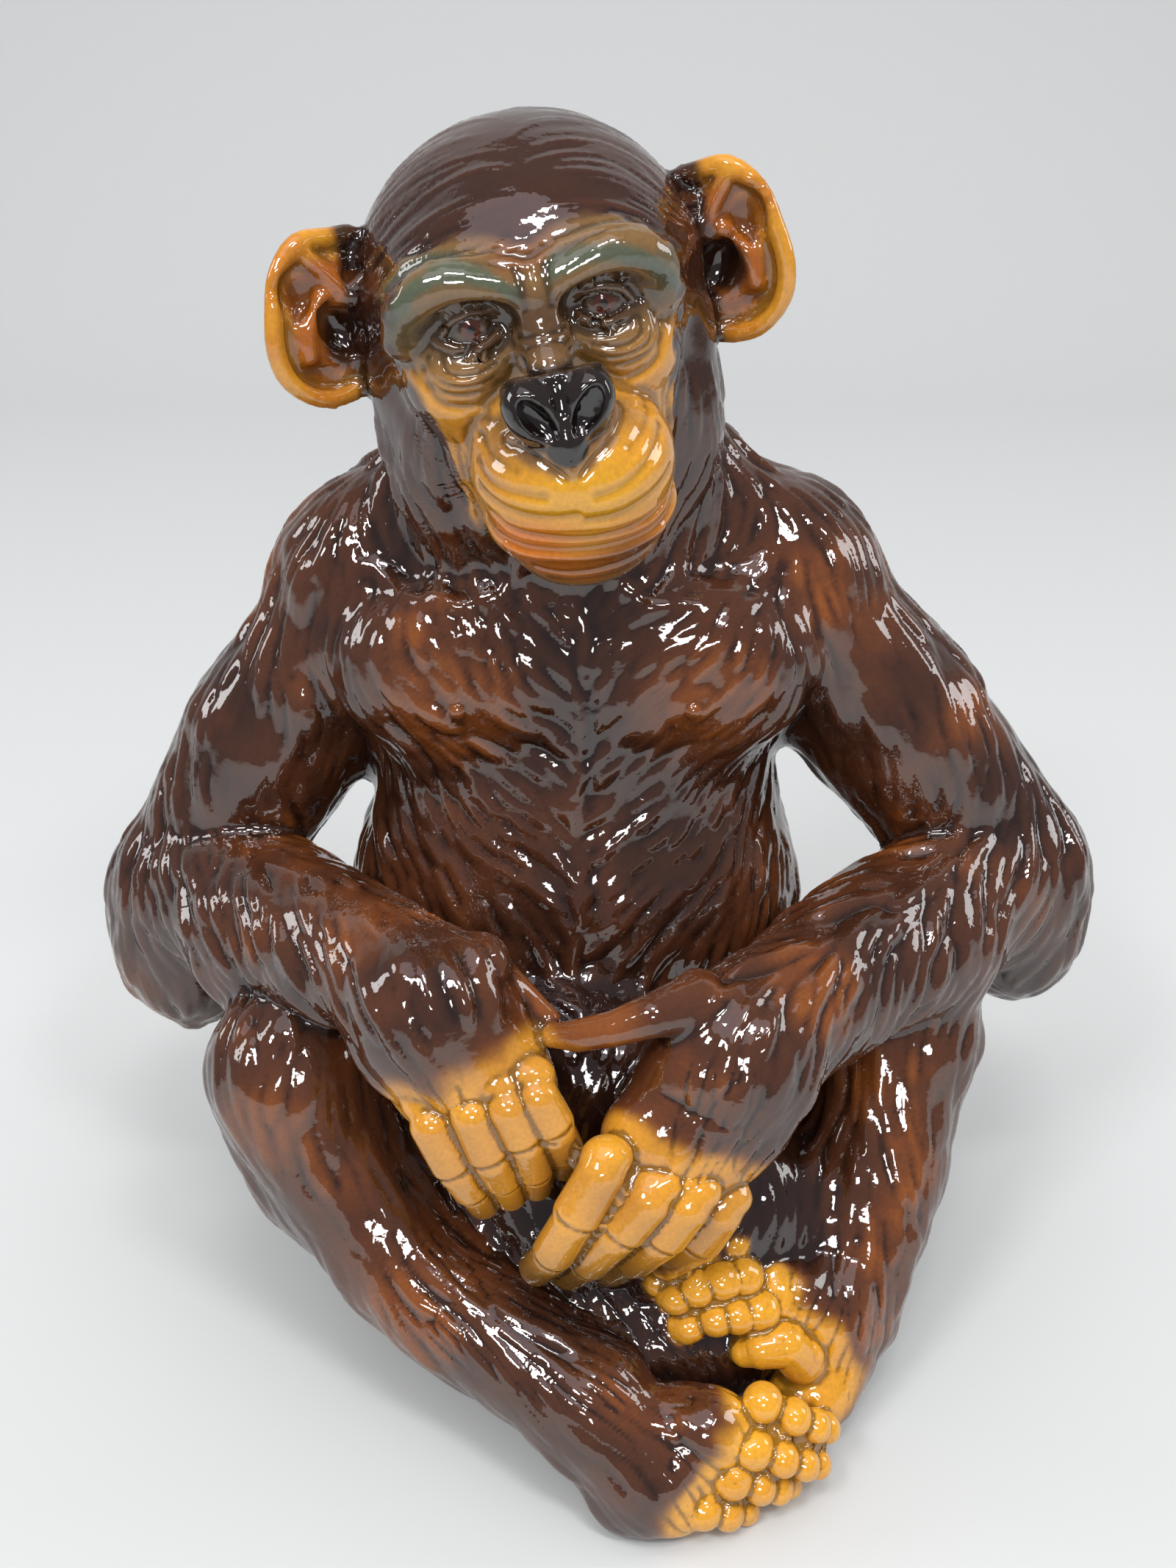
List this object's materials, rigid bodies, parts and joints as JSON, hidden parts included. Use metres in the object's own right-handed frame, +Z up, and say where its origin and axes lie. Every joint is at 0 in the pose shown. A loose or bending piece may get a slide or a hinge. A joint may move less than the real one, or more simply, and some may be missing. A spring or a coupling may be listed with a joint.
{
  "type": "seated chimpanzee figurine",
  "caption": "Glazed ceramic figurine of a young chimpanzee sitting with crossed shins and hands resting in its lap, with a flat underside to stand on.",
  "frame": {"origin": "on the flat underside, below the middle of the trunk", "axes": "+Z up to the crown of the head, -Y the way the chimpanzee's chest faces, +X towards its own left arm"},
  "size_m": [0.3204, 0.249, 0.3553],
  "materials": {
    "glaze": "glossy dark brown glaze with ochre muzzle, ears, hands and feet"
  },
  "bodies": {
    "root": {"figurine": "glaze"}
  },
  "joints": []
}
